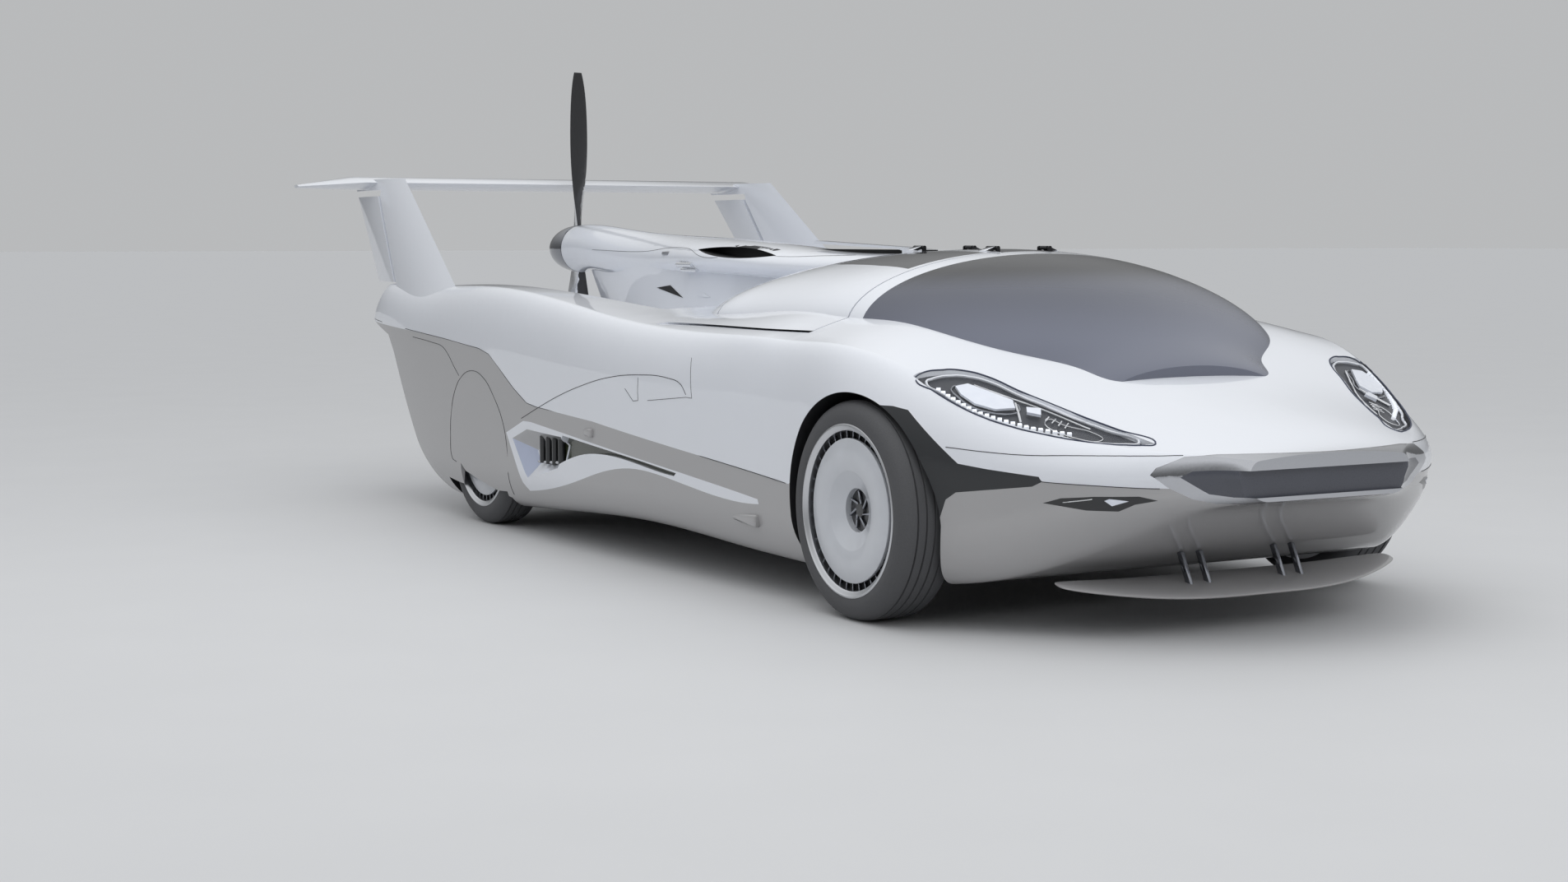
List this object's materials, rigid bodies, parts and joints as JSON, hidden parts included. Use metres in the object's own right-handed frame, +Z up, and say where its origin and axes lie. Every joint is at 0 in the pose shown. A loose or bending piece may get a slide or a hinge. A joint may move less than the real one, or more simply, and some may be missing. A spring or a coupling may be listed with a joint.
{
  "type": "flying car",
  "caption": "Road-going flying car with stowed wings, bubble cabin, twin-fin tail with high tailplane, pusher propeller, faired rear wheels and a small front wing.",
  "frame": {"origin": "centre of the bounding box on the ground plane", "axes": "+X to the car's left, nose towards -Y, +Z up; the car stands on its wheels"},
  "size_m": [2.47, 5.698, 1.955],
  "materials": {
    "white_paint": "gloss",
    "grey_paint": "satin",
    "chrome": "polished",
    "dark_panel": "gloss",
    "black_trim": "satin",
    "lamp_glass": "clear",
    "screen_glass": "tinted",
    "roof_glass": "dark tint",
    "alloy": "satin",
    "steel": "brushed",
    "tyre": "matte",
    "seat_trim": "matte",
    "cabin_trim": "matte",
    "engine": "cast",
    "composite": "satin"
  },
  "bodies": {
    "body": {"upper_body": "white_paint", "lower_body": "grey_paint", "wheel_spats": "grey_paint", "front_bumper": "white_paint", "arch_trims": "black_trim", "nose_frame": "chrome", "nose_panel": "dark_panel", "headlights": "lamp_glass", "lower_lamps": "lamp_glass", "windshield": "screen_glass", "windshield_hoop": "white_paint", "nacelle": "white_paint", "engine_block": "engine", "fins": "white_paint", "tailplane": "white_paint", "suspension_arms": "steel", "rear_axles": "steel", "front_wing": "white_paint", "front_wing_links": "alloy", "side_trims": "white_paint", "side_slats": "black_trim", "roof_scoop": "dark_panel", "seats": "seat_trim", "dashboard": "cabin_trim", "centre_console": "cabin_trim", "steering_wheel": "cabin_trim"},
    "door_left": {"door_left": "white_paint", "door_glass_left": "roof_glass"},
    "steering_left": {"knuckle_left": "steel"},
    "front_wheel_left": {"tyre_front_left": "tyre", "wheel_front_left": "alloy"},
    "rear_wheel_left": {"tyre_rear_left": "tyre", "wheel_rear_left": "alloy"},
    "rudder_left": {"rudder_left": "white_paint"},
    "door_right": {"door_right": "white_paint", "door_glass_right": "roof_glass"},
    "steering_right": {"knuckle_right": "steel"},
    "front_wheel_right": {"tyre_front_right": "tyre", "wheel_front_right": "alloy"},
    "rear_wheel_right": {"tyre_rear_right": "tyre", "wheel_rear_right": "alloy"},
    "rudder_right": {"rudder_right": "white_paint"},
    "propeller": {"propeller": "composite", "spinner": "white_paint"},
    "elevator": {"elevator": "white_paint"}
  },
  "joints": [
    {"name": "door_left_hinge", "type": "hinge", "parent": "body", "child": "door_left", "pos_m": [0.108, -1.06, 1.137], "axis": [0, -1, 0], "range_deg": [0, 70]},
    {"name": "steering_left_turn", "type": "hinge", "parent": "body", "child": "steering_left", "pos_m": [0.845, -1.805, 0.339], "axis": [0, 0, 1], "range_deg": [-28, 28]},
    {"name": "front_wheel_left_spin", "type": "hinge", "parent": "steering_left", "child": "front_wheel_left", "pos_m": [0.9, -1.805, 0.339], "axis": [1, 0, 0], "continuous": true},
    {"name": "rear_wheel_left_spin", "type": "hinge", "parent": "body", "child": "rear_wheel_left", "pos_m": [0.962, 1.042, 0.339], "axis": [1, 0, 0], "continuous": true},
    {"name": "rudder_left_hinge", "type": "hinge", "parent": "body", "child": "rudder_left", "pos_m": [0.99, 2.08, 0.975], "axis": [-0.0757, 0.6319, 0.7714], "range_deg": [-22, 22]},
    {"name": "door_right_hinge", "type": "hinge", "parent": "body", "child": "door_right", "pos_m": [-0.108, -1.06, 1.137], "axis": [0, 1, 0], "range_deg": [0, 70]},
    {"name": "steering_right_turn", "type": "hinge", "parent": "body", "child": "steering_right", "pos_m": [-0.845, -1.805, 0.339], "axis": [0, 0, 1], "range_deg": [-28, 28]},
    {"name": "front_wheel_right_spin", "type": "hinge", "parent": "steering_right", "child": "front_wheel_right", "pos_m": [-0.9, -1.805, 0.339], "axis": [1, 0, 0], "continuous": true},
    {"name": "rear_wheel_right_spin", "type": "hinge", "parent": "body", "child": "rear_wheel_right", "pos_m": [-0.962, 1.042, 0.339], "axis": [1, 0, 0], "continuous": true},
    {"name": "rudder_right_hinge", "type": "hinge", "parent": "body", "child": "rudder_right", "pos_m": [-0.99, 2.08, 0.975], "axis": [0.0757, 0.6319, 0.7714], "range_deg": [-22, 22]},
    {"name": "propeller_spin", "type": "hinge", "parent": "body", "child": "propeller", "pos_m": [0, 2.345, 1.12], "axis": [0, 1, 0], "continuous": true},
    {"name": "elevator_hinge", "type": "hinge", "parent": "body", "child": "elevator", "pos_m": [0, 2.725, 1.425], "axis": [1, 0, 0], "range_deg": [-20, 25]}
  ],
  "couplings": [
    {"joint": "steering_right_turn", "follows": "steering_left_turn", "ratio": 1},
    {"joint": "rudder_right_hinge", "follows": "rudder_left_hinge", "ratio": 1}
  ]
}
